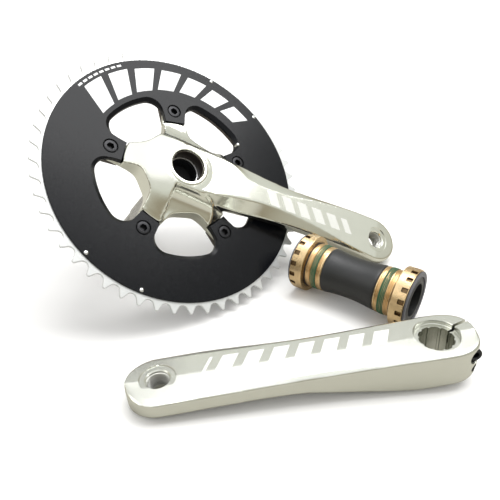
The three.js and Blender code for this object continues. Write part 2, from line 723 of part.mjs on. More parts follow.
function leftSide() {
  const group = laid(LEFT_POSE);
  piece(group, 'left_crank_arm', leftArm(), satinSilver);
  piece(group, 'pinch_bolt_upper', pinchBolt(PINCH.upper, 1), blackSteel);
  piece(group, 'pinch_bolt_lower', pinchBolt(PINCH.lower, -1), blackSteel);
  piece(group, 'pinch_washer_upper', pinchWasher(PINCH.upper, 1), bearingSteel);
  piece(group, 'pinch_washer_lower', pinchWasher(PINCH.lower, -1), bearingSteel);
  return group;
}

const crankset = new THREE.Group();
crankset.add(driveSide(), bottomBracket(), leftSide());
const footprint = new THREE.Box3().setFromObject(crankset, true);
const middle = footprint.getCenter(new THREE.Vector3());
crankset.position.set(-middle.x, -middle.y, -footprint.min.z);

export default crankset;
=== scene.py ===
"""Looks of a bicycle crankset laid out in pieces: fine meshes, materials, floor, light and camera.

Three local frames carry everything, each in millimetres: the drive side (Z along the spindle, X along
the crank), the bottom bracket (Z towards its right end) and the left crank (Z out of its face, X along
the crank).
"""
import json
import math

import bmesh
import bpy
from mathutils import Matrix, Vector


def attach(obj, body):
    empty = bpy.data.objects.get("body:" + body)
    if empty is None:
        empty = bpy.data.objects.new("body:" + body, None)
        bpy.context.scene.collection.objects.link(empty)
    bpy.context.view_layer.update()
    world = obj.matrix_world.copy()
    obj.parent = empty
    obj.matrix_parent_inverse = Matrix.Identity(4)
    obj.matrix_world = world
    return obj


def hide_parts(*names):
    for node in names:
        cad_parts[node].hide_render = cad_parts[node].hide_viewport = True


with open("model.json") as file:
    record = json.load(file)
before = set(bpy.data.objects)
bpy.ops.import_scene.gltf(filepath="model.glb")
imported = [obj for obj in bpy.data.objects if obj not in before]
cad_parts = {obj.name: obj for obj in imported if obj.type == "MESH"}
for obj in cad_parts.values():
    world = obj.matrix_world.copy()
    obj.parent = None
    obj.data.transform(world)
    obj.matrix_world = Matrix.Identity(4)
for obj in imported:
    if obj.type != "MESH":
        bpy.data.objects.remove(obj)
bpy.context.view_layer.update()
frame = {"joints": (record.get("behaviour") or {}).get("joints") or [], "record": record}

# ---- driving dimensions, in millimetres ----------------------------------------------------------

MM = 0.001
LOCAL = "local_position"
CRANK = 172.5
BOLT_CIRCLE = 55
BOLT_ANGLES = [36 + 72 * i for i in range(5)]
CHAIN_PITCH = 12.7
ROLLER = 3.9
TOOTH_HEIGHT = 6.2
HUB_TOP = 15.4
HUB_BORE = 12.3
LEG_BOTTOM = -8.6
TAB_TOP = -4.9
PEDAL_RADIUS = 19.5
PEDAL_HOLE = 7.15
BRACKET = 93
FLANGE = 22
THREAD = 17.4
BOSS_REACH = 25
BOSS_DEPTH = 28.5
BOLT_TAB = {"inner": 44.8, "half_width": 8, "splay": 0.13, "fillet": 11}
SMALL_RING_TAB = {"inner": 46, "half_width": 6.8, "splay": 0.13, "fillet": 5}
WINDOW_RADIUS = 64.5
WINDOW_BEVEL_RADIUS = 67.4
WINDOW_BEVEL_DEPTH = 1.8
OUTER_TEETH = 52
INNER_TEETH = 39
CREASE_PLUS = 18
CREASE_MINUS = 17
DISC_RADIUS = 99.4
DISC_BOTTOM = -4.6
TOOTH_TOP = -1.4
TOOTH_BOTTOM = -3.6
SMALL_RING_TOP = -8.9
SMALL_RING_BOTTOM = -12.4
SMALL_RING_WINDOW = 69
SMALL_TOOTH_TOP = -9.6
SMALL_TOOTH_BOTTOM = -11.6
BOLT_SEAT = 5.4
BOLT_SEAT_DEPTH = 2.4
BOLT_HOLE = 4.5
NUT_SEAT_DEPTH = 1.6
LEG_REACH = 62.2
LEG_SIDE = 12.2
LEG_TAPER = 0.08
WEB_RADIUS = 32
SPINDLE = 12
SPINDLE_BORE = 9.8
SPINDLE_MOUTH = 11.2
SPINDLE_SHOULDER = -91.2
SPINDLE_END = -115.5
SPLINE_COUNT = 10
DRIVE_PEDAL_FACE = 25
PEDAL_THREAD_PITCH = 1.27
CUP_THREAD_PITCH = 1.06
NOTCH_COUNT = 16
NOTCH_FLOOR = 20.4
BALL_COUNT = 10
BALL_RADIUS = 1.4
BALL_CIRCLE = 15.8
BALL_HEIGHT = -5
FORGING_VOXEL = 0.7
FORGING_SMOOTHING = 5


# ---- frames --------------------------------------------------------------------------------------

mounts = {m["name"]: m for m in frame["record"]["mounts"]}
joints = {j["name"]: j for j in frame["joints"]}


def local_frame(origin, z_axis, x_towards):
    """Matrix from local millimetres to the row frame, with X in the direction of the point x_towards."""
    z = Vector(z_axis).normalized()
    x = Vector(x_towards) - Vector(origin)
    x = (x - z * x.dot(z)).normalized()
    turn = Matrix((x, z.cross(x), z)).transposed().to_4x4()
    return Matrix.Translation(origin) @ turn @ Matrix.Scale(MM, 4)


def drive_frame():
    spin = joints["crank_spin"]
    return local_frame(spin["pos_m"], spin["axis"], mounts["right_pedal_seat"]["pos_m"])


def bracket_frame():
    right = Vector(joints["right_bearing_spin"]["pos_m"])
    left = Vector(joints["left_bearing_spin"]["pos_m"])
    return local_frame((right + left) / 2, right - left, (right + left) / 2 + Vector((0, 0, 1)))


def left_frame():
    seat = mounts["left_cap_seat"]
    pedal = Vector(mounts["left_pedal_seat"]["pos_m"])
    z = Vector(seat["axis"])
    x = (pedal - Vector(seat["pos_m"])).normalized()
    x = (x - z * x.dot(z)).normalized()
    origin = Vector(seat["pos_m"]) + (z * 3.5 - x * 12.7) * MM
    return local_frame(origin, z, pedal)


DRIVE = drive_frame()
MIDDLE = bracket_frame()
LEFT = left_frame()
RIGHT_END = MIDDLE @ Matrix.Translation((0, 0, BRACKET / 2))
LEFT_END = MIDDLE @ Matrix.Rotation(math.pi, 4, "X") @ Matrix.Translation((0, 0, BRACKET / 2))


# ---- mesh tools ----------------------------------------------------------------------------------

def make(name, verts, faces, where):
    """A closed mesh object with its faces turned outwards."""
    mesh = bpy.data.meshes.new(name)
    mesh.from_pydata([tuple(v) for v in verts], [], faces)
    work = bmesh.new()
    work.from_mesh(mesh)
    bmesh.ops.remove_doubles(work, verts=work.verts, dist=1e-4)
    bmesh.ops.dissolve_degenerate(work, edges=work.edges, dist=1e-5)
    bmesh.ops.recalc_face_normals(work, faces=work.faces)
    if work.calc_volume(signed=True) < 0:
        bmesh.ops.reverse_faces(work, faces=work.faces)
    work.to_mesh(mesh)
    work.free()
    obj = bpy.data.objects.new(name, mesh)
    obj.matrix_world = where
    bpy.context.scene.collection.objects.link(obj)
    return obj


def skin(name, rings, where, wrap=False):
    """Quads between rings of points; the ends are capped unless the last ring joins the first."""
    count = len(rings[0])
    faces = []
    for i in range(len(rings) if wrap else len(rings) - 1):
        here, there = i * count, (i + 1) % len(rings) * count
        for j in range(count):
            k = (j + 1) % count
            faces.append((here + j, there + j, there + k, here + k))
    if not wrap:
        faces.append(tuple(range(count)))
        faces.append(tuple(range((len(rings) - 1) * count, len(rings) * count)))
    return make(name, [p for ring in rings for p in ring], faces, where)


def lathe(name, profile, where, segments=96, centre=(0, 0)):
    """A closed [radius, height] profile turned about the Z axis through centre."""
    rings = []
    for i in range(segments):
        angle = 2 * math.pi * i / segments
        rings.append([
            (centre[0] + r * math.cos(angle), centre[1] + r * math.sin(angle), z) for r, z in profile
        ])
    return skin(name, rings, where, wrap=True)


def polar(radius, degrees):
    angle = math.radians(degrees)
    return radius * math.cos(angle), radius * math.sin(angle)


def baked(obj):
    """Replaces the object's mesh by what its modifiers make of it."""
    bpy.context.view_layer.update()
    evaluated = obj.evaluated_get(bpy.context.evaluated_depsgraph_get())
    mesh = bpy.data.meshes.new_from_object(evaluated)
    obj.modifiers.clear()
    obj.data = mesh
    return obj


def joined(objects):
    """Puts several objects of one local frame into the first."""
    first = objects[0]
    work = bmesh.new()
    for obj in objects:
        work.from_mesh(obj.data)
    work.to_mesh(first.data)
    work.free()
    for obj in objects[1:]:
        bpy.data.objects.remove(obj)
    return first


def carve(obj, *tools):
    """Cuts tools out of obj and removes them."""
    for tool in tools:
        modifier = obj.modifiers.new("cut", "BOOLEAN")
        modifier.operation = "DIFFERENCE"
        modifier.solver = "EXACT"
        modifier.object = tool
    baked(obj)
    for tool in tools:
        bpy.data.objects.remove(tool)
    return obj


def melted(obj, voxel, rounds):
    """Fuses overlapping closed shapes into one smooth forged-looking skin."""
    remesh = obj.modifiers.new("remesh", "REMESH")
    remesh.mode = "VOXEL"
    remesh.voxel_size = voxel
    smooth = obj.modifiers.new("smooth", "SMOOTH")
    smooth.factor = 0.5
    smooth.iterations = rounds
    return baked(obj)


def box_tool(xs, ys, zs, where):
    plan = ((xs[0], ys[0]), (xs[1], ys[0]), (xs[1], ys[1]), (xs[0], ys[1]))
    corners = [(x, y, z) for z in zs for x, y in plan]
    faces = [(0, 1, 2, 3), (4, 5, 6, 7), (0, 1, 5, 4), (1, 2, 6, 5), (2, 3, 7, 6), (3, 0, 4, 7)]
    return make("tool", corners, faces, where)


def plate(name, outlines, low, high, where, bevel=0.25):
    """A flat plate from closed outlines, holes included, with small rounded edges."""
    curve = bpy.data.curves.new(name, "CURVE")
    curve.dimensions = "2D"
    curve.fill_mode = "BOTH"
    for outline in outlines:
        spline = curve.splines.new("POLY")
        spline.points.add(len(outline) - 1)
        for point, (x, y) in zip(spline.points, outline):
            point.co = (x, y, 0, 1)
        spline.use_cyclic_u = True
    curve.extrude = (high - low) / 2 - bevel
    curve.bevel_depth = bevel
    curve.bevel_resolution = 1
    curve.offset = -bevel
    source = bpy.data.objects.new(name, curve)
    bpy.context.scene.collection.objects.link(source)
    bpy.context.view_layer.update()
    mesh = bpy.data.meshes.new_from_object(source.evaluated_get(bpy.context.evaluated_depsgraph_get()))
    bpy.data.objects.remove(source)
    mesh.transform(Matrix.Translation((0, 0, (low + high) / 2)))
    return make(name, [v.co for v in mesh.vertices], [tuple(p.vertices) for p in mesh.polygons], where)


def present(obj, body, material, nodes=(), sharp=32):
    """Turns a finished piece to the world's axes, shades it and hands it to the frame.

    Its local positions stay on the mesh, because the materials are laid out in them.
    """
    mesh = obj.data
    local = mesh.attributes.new(LOCAL, "FLOAT_VECTOR", "POINT")
    local.data.foreach_set("vector", [value for vertex in mesh.vertices for value in vertex.co])
    mesh.transform(obj.matrix_world)
    obj.matrix_world = Matrix.Identity(4)
    mesh.shade_smooth()
    mesh.set_sharp_from_angle(angle=math.radians(sharp))
    mesh.materials.clear()
    mesh.materials.append(material)
    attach(obj, body)
    if nodes:
        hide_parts(*nodes)
    return obj


def curve_through(stations):
    """A smooth function through [x, value] stations, flat beyond the ends."""
    def slope(i):
        a, b = max(i - 1, 0), min(i + 1, len(stations) - 1)
        return (stations[b][1] - stations[a][1]) / (stations[b][0] - stations[a][0])

    def value(x):
        if x <= stations[0][0]:
            return stations[0][1]
        for i in range(1, len(stations)):
            (x0, v0), (x1, v1) = stations[i - 1], stations[i]
            if x <= x1:
                span = x1 - x0
                t = (x - x0) / span
                start, end = slope(i - 1) * span, slope(i) * span
                return (
                    v0 * (2 * t**3 - 3 * t**2 + 1) + start * (t**3 - 2 * t**2 + t)
                    + v1 * (3 * t**2 - 2 * t**3) + end * (t**3 - t**2)
                )
        return stations[-1][1]

    return value


# ---- materials -----------------------------------------------------------------------------------

LATHE_LINES = 14.0
BAR_SHARE = 0.62


def node_material(name):
    material = bpy.data.materials.new(name)
    material.use_nodes = True
    tree = material.node_tree
    return material, tree, tree.nodes["Principled BSDF"]


def add_node(tree, kind, inputs=None, **settings):
    node = tree.nodes.new(kind)
    for key, value in settings.items():
        setattr(node, key, value)
    for key, value in (inputs or {}).items():
        if isinstance(value, bpy.types.NodeSocket):
            tree.links.new(value, node.inputs[key])
        else:
            node.inputs[key].default_value = value
    return node


def calculate(tree, operation, a, b=0.0, c=0.0):
    return add_node(tree, "ShaderNodeMath", {0: a, 1: b, 2: c}, operation=operation).outputs[0]


def local_position(tree):
    return add_node(tree, "ShaderNodeAttribute", attribute_name=LOCAL).outputs["Vector"]


def noise(tree, position, scale, detail=3.0):
    inputs = {"Vector": position, "Scale": scale, "Detail": detail}
    return add_node(tree, "ShaderNodeTexNoise", inputs).outputs["Fac"]


def spread(tree, value, low, high):
    """Maps a 0 to 1 value on to low to high."""
    inputs = {"Value": value, "To Min": low, "To Max": high}
    return add_node(tree, "ShaderNodeMapRange", inputs).outputs["Result"]


def radius_of(tree, position):
    """Distance of a local point from its Z axis."""
    flat = add_node(tree, "ShaderNodeVectorMath", {0: position, 1: (1, 1, 0)}, operation="MULTIPLY")
    return add_node(tree, "ShaderNodeVectorMath", {0: flat.outputs[0]}, operation="LENGTH").outputs["Value"]


def ramp_of(tree, value, stops):
    """Colours along a 0 to 1 value, from (position, colour) stops."""
    node = add_node(tree, "ShaderNodeValToRGB", {"Fac": value})
    elements = node.color_ramp.elements
    while len(elements) < len(stops):
        elements.new(0.5)
    for element, (position, color) in zip(elements, stops):
        element.position = position
        element.color = (*color, 1)
    return node.outputs["Color"]


def mixed_color(tree, factor, a, b):
    node = add_node(tree, "ShaderNodeMix", data_type="RGBA")
    tree.links.new(factor, node.inputs["Factor"])
    for key, value in (("A", a), ("B", b)):
        if isinstance(value, bpy.types.NodeSocket):
            tree.links.new(value, node.inputs[key])
        else:
            node.inputs[key].default_value = (*value, 1)
    return node.outputs["Result"]


def finish_of(name, color, metallic, roughness, grain=0.05, grain_scale=4.0, tone=0.06, turned=0.0):
    """A metal or plastic with uneven roughness and tone, a fine grain and, where turned, lathe rings."""
    material, tree, shader = node_material(name)
    position = local_position(tree)
    broad = noise(tree, position, 0.12, 4.0)
    fine = noise(tree, position, grain_scale, 2.0)
    mixed = add_node(tree, "ShaderNodeHueSaturation", {
        "Color": (*color, 1), "Value": spread(tree, broad, 1 - tone, 1 + tone),
    })
    tree.links.new(mixed.outputs["Color"], shader.inputs["Base Color"])
    shader.inputs["Metallic"].default_value = metallic
    rough = spread(tree, broad, roughness * 0.8, roughness * 1.2)
    tree.links.new(rough, shader.inputs["Roughness"])
    height = calculate(tree, "MULTIPLY", fine, grain)
    if turned:
        rings = calculate(tree, "SINE", calculate(tree, "MULTIPLY", radius_of(tree, position), LATHE_LINES))
        depth = add_node(tree, "ShaderNodeSeparateXYZ", {0: position}).outputs["Z"]
        along = calculate(tree, "MULTIPLY", depth, LATHE_LINES)
        lines = calculate(tree, "ADD", rings, calculate(tree, "SINE", along))
        height = calculate(tree, "MULTIPLY_ADD", lines, turned, height)
    bump = add_node(tree, "ShaderNodeBump", {"Height": height, "Strength": 1.0, "Distance": 0.001})
    tree.links.new(bump.outputs["Normal"], shader.inputs["Normal"])
    return material


def gold_with_painted_notch_shade():
    """Gold for the cups, dulled and darkened by painted shade in the wrench notches of their flanges."""
    material = finish_of("gold_cup", (0.78, 0.58, 0.34), 1, 0.25, grain=0.03, turned=0.03, tone=0.05)
    tree = material.node_tree
    shader = tree.nodes["Principled BSDF"]
    position = local_position(tree)
    height = add_node(tree, "ShaderNodeSeparateXYZ", {0: position}).outputs["Z"]
    radius = radius_of(tree, position)
    # Painted shade: notch floors and walls (radius 20 to 21.65, height -1.85 to -6.5) get 85 % dark brown
    # mixed into the gold.
    limits = [
        calculate(tree, "GREATER_THAN", radius, 20),
        calculate(tree, "LESS_THAN", radius, FLANGE - 0.35),
        calculate(tree, "LESS_THAN", height, -1.85),
        calculate(tree, "GREATER_THAN", height, -6.5),
    ]
    mask = 0.85
    for limit in limits:
        mask = calculate(tree, "MULTIPLY", limit, mask)
    under = shader.inputs["Base Color"].links[0].from_socket
    tree.links.new(mixed_color(tree, mask, under, (0.1, 0.06, 0.03)), shader.inputs["Base Color"])
    return material


def bar_mask(tree, position, start, end, middle, half_height, pitch, lean):
    """Slanted bars along X between start and end, within half_height of the line y = middle: 1 on a bar."""
    parts = add_node(tree, "ShaderNodeSeparateXYZ", {0: position}).outputs
    height = calculate(tree, "ABSOLUTE", calculate(tree, "SUBTRACT", parts["Y"], middle))
    run = calculate(tree, "MULTIPLY_ADD", parts["Y"], lean, parts["X"])
    phase = calculate(tree, "FRACT", calculate(tree, "DIVIDE", run, pitch))
    mask = calculate(tree, "LESS_THAN", phase, BAR_SHARE)
    limits = [
        calculate(tree, "GREATER_THAN", run, start),
        calculate(tree, "LESS_THAN", run, end),
        calculate(tree, "LESS_THAN", height, half_height),
    ]
    for limit in limits:
        mask = calculate(tree, "MULTIPLY", mask, limit)
    return mask


def etched(material, start, end, middle, half_height, pitch, lean, pale, strength):
    """Lays a row of pale etched bars over an arm's material; they stand for its printed mark."""
    tree = material.node_tree
    shader = tree.nodes["Principled BSDF"]
    mask = bar_mask(tree, local_position(tree), start, end, middle, half_height, pitch, lean)
    mask = calculate(tree, "MULTIPLY", mask, strength)
    under = shader.inputs["Base Color"].links[0].from_socket
    mix = add_node(tree, "ShaderNodeMix", data_type="RGBA")
    tree.links.new(mask, mix.inputs["Factor"])
    tree.links.new(under, mix.inputs["A"])
    mix.inputs["B"].default_value = (*pale, 1)
    tree.links.new(mix.outputs["Result"], shader.inputs["Base Color"])
    metal = calculate(tree, "MULTIPLY_ADD", mask, -0.7, 1.0)
    tree.links.new(metal, shader.inputs["Metallic"])
    return material


DISC_GLOSS = 0.17
POLISHED_COLOR = (0.72, 0.73, 0.66)
SATIN_COLOR = (0.64, 0.65, 0.6)
POLISHED = finish_of("polished_aluminium", POLISHED_COLOR, 1, 0.13, 0.02, 1.2, tone=0.03)
BORED = finish_of("bored_aluminium", (0.6, 0.6, 0.57), 1, 0.3, grain=0.04, turned=0.05)
BLACK_DISC = finish_of("black_anodised", (0.004, 0.0045, 0.006), 0, 0.17, 0.015, turned=0.005, tone=0.1)
TEETH = finish_of("bare_teeth", (0.6, 0.61, 0.6), 0.35, 0.3, grain=0.02, tone=0.05)
DARK_WALL = finish_of("dark_wall", (0.09, 0.075, 0.065), 0.8, 0.35, grain=0.05)
BLACK_DISC.node_tree.nodes["Principled BSDF"].inputs["Specular IOR Level"].default_value = DISC_GLOSS
BLACK_STEEL = finish_of("black_steel", (0.025, 0.025, 0.027), 0.8, 0.28, grain=0.04, tone=0.1)
SPINDLE_STEEL = finish_of("spindle_steel", (0.5, 0.5, 0.51), 1, 0.22, grain=0.03, turned=0.02)
BRIGHT_STEEL = finish_of("bright_steel", (0.68, 0.69, 0.7), 1, 0.2, grain=0.02)
GREEN = finish_of("green_locker", (0.012, 0.085, 0.035), 0, 0.5, grain=0.4, grain_scale=2.0, tone=0.25)
BLACK_PLASTIC = finish_of("black_plastic", (0.01, 0.011, 0.012), 0, 0.42, 0.1, 3.0, tone=0.15)
GREY_PLASTIC = finish_of("grey_plastic", (0.11, 0.11, 0.125), 0.2, 0.42, grain=0.08, tone=0.1)
RUBBER = finish_of("black_rubber", (0.012, 0.012, 0.012), 0, 0.6, grain=0.1, tone=0.1)
PAINT = finish_of("white_paint", (0.86, 0.87, 0.86), 0, 0.4, grain=0.05, tone=0.02)
GOLD = gold_with_painted_notch_shade()
etched(POLISHED, 68, 146, 2, 6, 14, 0.5, (0.9, 0.9, 0.88), 0.6)


def mirrored_etch():
    material = finish_of("satin_marked", SATIN_COLOR, 1, 0.17, 0.05, 6.0, tone=0.03)
    return etched(material, 32, 146, -5, 6, 16, -0.5, (0.98, 0.98, 0.96), 0.8)


SATIN_MARKED = mirrored_etch()


# ---- chainrings ----------------------------------------------------------------------------------

def pitch_radius(teeth):
    return CHAIN_PITCH / (2 * math.sin(math.pi / teeth))


def toothed_outline(teeth):
    """Round roller seats between tapering teeth with narrow flat tips."""
    root = pitch_radius(teeth) - ROLLER
    step = 360 / teeth
    seat_half = math.degrees(ROLLER / pitch_radius(teeth))
    points = []
    for i in range(teeth):
        for t in (-0.95, -0.75, -0.5, -0.25, 0, 0.25, 0.5, 0.75, 0.95):
            dip = ROLLER * (1 - math.sqrt(1 - t * t))
            points.append(polar(root + dip, i * step + t * seat_half))
        points.append(polar(root + TOOTH_HEIGHT - 0.4, (i + 0.415) * step))
        points.append(polar(root + TOOTH_HEIGHT, (i + 0.45) * step))
        points.append(polar(root + TOOTH_HEIGHT, (i + 0.55) * step))
        points.append(polar(root + TOOTH_HEIGHT - 0.4, (i + 0.585) * step))
    return points


def circle(radius, corners=180, centre=(0, 0)):
    spokes = [polar(radius, 360 * i / corners) for i in range(corners)]
    return [(centre[0] + x, centre[1] + y) for x, y in spokes]


def tab_side(window_radius, tab):
    """One side of a bolt tab and the rounded corner beyond it, going outwards."""
    splay, fillet = tab["splay"], tab["fillet"]
    along = Vector((math.cos(splay), math.sin(splay)))
    base = Vector((tab["inner"] - fillet * along.y, tab["half_width"] + fillet * along.x))
    towards = base.dot(along)
    reach = math.sqrt(towards**2 - base.length_squared + (window_radius - fillet) ** 2) - towards
    centre = base + along * reach
    first, last = splay - math.pi / 2, math.atan2(centre.y, centre.x)
    corner = []
    for i in range(13):
        angle = first + (last - first) * i / 12
        corner.append(centre + Vector((math.cos(angle), math.sin(angle))) * fillet)
    return [Vector((tab["inner"], tab["half_width"]))] + corner


def window_outline(window_radius, tab):
    """Inner edge of a ring: a bolt tab with straight sides, then an arc to the next tab, five times over."""
    side = tab_side(window_radius, tab)
    start = math.degrees(math.atan2(side[-1].y, side[-1].x))
    outline = [Vector((p.x, -p.y)) for p in side[::-1]] + side
    outline += [Vector(polar(window_radius, start + (72 - 2 * start) * i / 24)) for i in range(1, 24)]
    points = []
    for middle in BOLT_ANGLES:
        turn = Matrix.Rotation(math.radians(middle), 2)
        points += [turn @ p for p in outline]
    return [(p.x, p.y) for p in points]


def window_bevel_tool():
    """A plug that widens towards the disc's face and leaves sloping edges round its windows."""
    tab = {**BOLT_TAB, "half_width": BOLT_TAB["half_width"] + 0.05, "inner": BOLT_TAB["inner"] - 0.05}
    face = WINDOW_BEVEL_RADIUS
    levels = [(WINDOW_RADIUS, -WINDOW_BEVEL_DEPTH), (face, 0.02), (face, 1)]
    rings = [[(x, y, z) for x, y in window_outline(radius, tab)] for radius, z in levels]
    return skin("tool", rings, DRIVE)


def bolt_hole_tools(where, top, bottom, seat_radius=BOLT_SEAT, chamfer=0.3):
    """One object with a stepped, chamfered hole for each chainring bolt; the wide end is at top."""
    out = 6 if top > bottom else -6
    edge = chamfer if top > bottom else -chamfer
    floor = top - (BOLT_SEAT_DEPTH if top > bottom else -NUT_SEAT_DEPTH)
    profile = [
        (0, bottom - out), (BOLT_HOLE, bottom - out), (BOLT_HOLE, floor), (seat_radius, floor),
        (seat_radius, top - edge), (seat_radius + chamfer, top), (seat_radius + chamfer, top + out),
        (0, top + out),
    ]
    return joined([
        lathe("tool", profile, where, 48, polar(BOLT_CIRCLE, angle)) for angle in BOLT_ANGLES
    ])


def outer_ring():
    outlines = [circle(DISC_RADIUS, 240), window_outline(WINDOW_RADIUS, BOLT_TAB)]
    disc = plate("ring_disc", outlines, DISC_BOTTOM, 0, DRIVE, 0.35)
    carve(disc, bolt_hole_tools(DRIVE, 0, DISC_BOTTOM))
    carve(disc, window_bevel_tool())
    present(disc, "drive_crank", BLACK_DISC, ["outer_chainring"], sharp=12)
    outlines = [toothed_outline(OUTER_TEETH), circle(96)]
    teeth = plate("ring_teeth", outlines, TOOTH_BOTTOM, TOOTH_TOP, DRIVE, 0.45)
    present(teeth, "drive_crank", TEETH, sharp=12)


def inner_ring():
    band = pitch_radius(INNER_TEETH) - ROLLER - 1.2
    outlines = [circle(band), window_outline(SMALL_RING_WINDOW, SMALL_RING_TAB)]
    body = plate("small_ring_body", outlines, SMALL_RING_BOTTOM, SMALL_RING_TOP, DRIVE, 0.3)
    carve(body, bolt_hole_tools(DRIVE, SMALL_RING_BOTTOM, SMALL_RING_TOP))
    present(body, "drive_crank", DARK_WALL, ["inner_chainring"], sharp=12)
    outlines = [toothed_outline(INNER_TEETH), circle(band - 2.5, 120)]
    teeth = plate("small_ring_teeth", outlines, SMALL_TOOTH_BOTTOM, SMALL_TOOTH_TOP, DRIVE, 0.4)
    present(teeth, "drive_crank", TEETH, sharp=12)


def chainring_bolts():
    for i, angle in enumerate(BOLT_ANGLES, 1):
        centre = polar(BOLT_CIRCLE, angle)
        head = lathe("ring_bolt_%d" % i, [
            (0, -11), (3.3, -11), (3.3, -2.1), (4.9, -2.1), (4.9, -0.8), (4.6, -0.4), (4.1, -0.3), (0, -0.3),
        ], DRIVE, 48, centre)
        socket = lathe("tool", [
            (0, -3.6), (2.5, -3.6), (2.7, -0.7), (3.1, 0), (3.1, 2), (0, 2),
        ], DRIVE, 6, centre)
        carve(head, socket)
        present(head, "drive_crank", BLACK_STEEL, ["chainring_bolt_%d" % i])
        nut = lathe("ring_nut_%d" % i, [
            (3.6, -12.4), (3.8, -12.7), (4.6, -12.7), (4.9, -12.3), (4.9, -11.1), (4.2, -11.1),
            (4.2, DISC_BOTTOM), (3.6, DISC_BOTTOM),
        ], DRIVE, 48, centre)
        present(nut, "drive_crank", BLACK_STEEL, ["chainring_nut_%d" % i])


def ring_pins():
    places = [(97.2, -120.6), (97.2, -94.4), (97.2, 58.3), (97.2, 85.9)]
    for i, (radius, angle) in enumerate(places, 1):
        pin = lathe("shift_rivet_%d" % i, [
            (0, -6.4), (1.3, -6.4), (1.5, -6.2), (1.5, 0.2), (1.2, 0.5), (0.6, 0.65), (0, 0.65),
        ], DRIVE, 24, polar(radius, angle))
        present(pin, "drive_crank", BRIGHT_STEEL, ["shift_pin_%d" % i])
    catch = lathe("catch_pin", [
        (0, -4.4), (1.5, -4.4), (1.5, 1.7), (1.2, 2.2), (0.6, 2.5), (0, 2.5),
    ], DRIVE, 24, polar(62.6, 49.2))
    present(catch, "drive_crank", BRIGHT_STEEL, ["chain_catch_pin"])


def arc_patch(name, inner, outer, start, end, lean):
    """A thin printed patch on the disc between two radii and two angles, leaning along the arc."""
    steps = 10
    top, low = [], []
    for i in range(steps + 1):
        angle = start + (end - start) * i / steps
        top.append(polar(outer, angle + lean))
        low.append(polar(inner, angle))
    outline = low + top[::-1]
    return plate(name, [outline], -0.02, 0.06, DRIVE, 0.02)


def disc_marks():
    """Generic stripes in place of the printed word, and dashes in place of the small print."""
    bars = []
    for i in range(7):
        start = 64 + 14.4 * i
        bars.append(arc_patch("bar", 75 - 0.7 * i, 89 + 0.7 * i, start, start + 10.5, -5))
    present(joined(bars), "drive_crank", PAINT).name = "disc_stripes"
    dashes = [arc_patch("dash", 95.4, 97.0, 133 + 3.2 * i, 135.2 + 3.2 * i, 0) for i in range(8)]
    present(joined(dashes), "drive_crank", PAINT).name = "disc_dashes"


# ---- drive crank ---------------------------------------------------------------------------------

def spider_edge(offset):
    """Distance from the axis to the spider's outline, at an angle from the middle of a leg."""
    side = LEG_SIDE / (math.sin(abs(offset)) + LEG_TAPER)
    blended = (WEB_RADIUS**6 + side**6) ** (1 / 6)
    return min(LEG_REACH / math.cos(min(abs(offset), 0.2)), blended)


def spider_shape():
    """A cone round the hub, cut lower beyond the two straight creases of the arm's flat."""
    cone = curve_through([(0, HUB_TOP), (19, HUB_TOP), (30, 11.4), (40, 3.6), (46, -0.4), (70, -1.0)])
    below = curve_through([
        (-1, HUB_TOP + 1), (0, HUB_TOP), (1.5, 11.6), (5, 7), (10, 3.5), (20, -0.4), (60, -0.4),
    ])

    def height(x, y):
        beyond = max(y - CREASE_PLUS, -y - CREASE_MINUS if x > -6 else -1)
        return min(cone(math.hypot(x, y)), below(beyond))

    rings = []
    for middle in BOLT_ANGLES:
        for i in range(-30, 30):
            offset = math.radians(36 * i / 30)
            edge = spider_edge(offset)
            direction = polar(1, middle + 36 * i / 30)
            radii = [11 + (edge - 11) * j / 24 for j in range(25)]
            profile = [(r, height(direction[0] * r, direction[1] * r)) for r in radii]
            profile += [(edge, LEG_BOTTOM), (27, LEG_BOTTOM), (25, -4), (11, -4)]
            rings.append([(direction[0] * r, direction[1] * r, z) for r, z in profile])
    return skin("spider", rings, DRIVE, wrap=True)


def end_share(x, reach):
    """Share of its width that an arm keeps at x, less than one round its two ends."""
    if x > CRANK:
        return math.sqrt(max(0.0, 1 - ((x - CRANK) / PEDAL_RADIUS) ** 2))
    if x < 0:
        return max(0.0, 1 - (-x / reach) ** 2.6) ** (1 / 2.6)
    return 1


def arm_shape(name, where, start, reach, shape):
    """An arm swept along X from its edge, flat, height and back curves."""
    curves = {key: curve_through(stations) for key, stations in shape.items()}
    tip = CRANK + PEDAL_RADIUS
    xs = [start + (CRANK - start) * i / 90 for i in range(90)]
    xs += [tip - PEDAL_RADIUS * (1 - math.sin(math.pi / 2 * i / 16)) for i in range(16)] + [tip - 0.01]
    if start < 0:
        xs = [-reach * math.cos(math.pi / 2 * i / 12) + 0.01 for i in range(12)] + [x for x in xs if x >= 0]
    rings = []
    for x in xs:
        share = end_share(x, reach)
        top, bottom = curves["top"](x), curves["bottom"](x)
        ring = []
        for sign, key in ((1, "plus_"), (-1, "minus_")):
            half = curves[key + "edge"](x) * share
            side = top - curves[key + "drop"](x)
            lift = min(4.0, (side - bottom) * 0.35)
            part = [
                (half * 0.78, bottom), (half, bottom + lift), (half, side),
                (curves[key + "flat"](x) * share, top - curves[key + "sag"](x)),
            ]
            ring.append([(x, sign * y, z) for y, z in part])
        rings.append(ring[0] + [(x, 0, top)] + ring[1][::-1])
    return skin(name, rings, where)


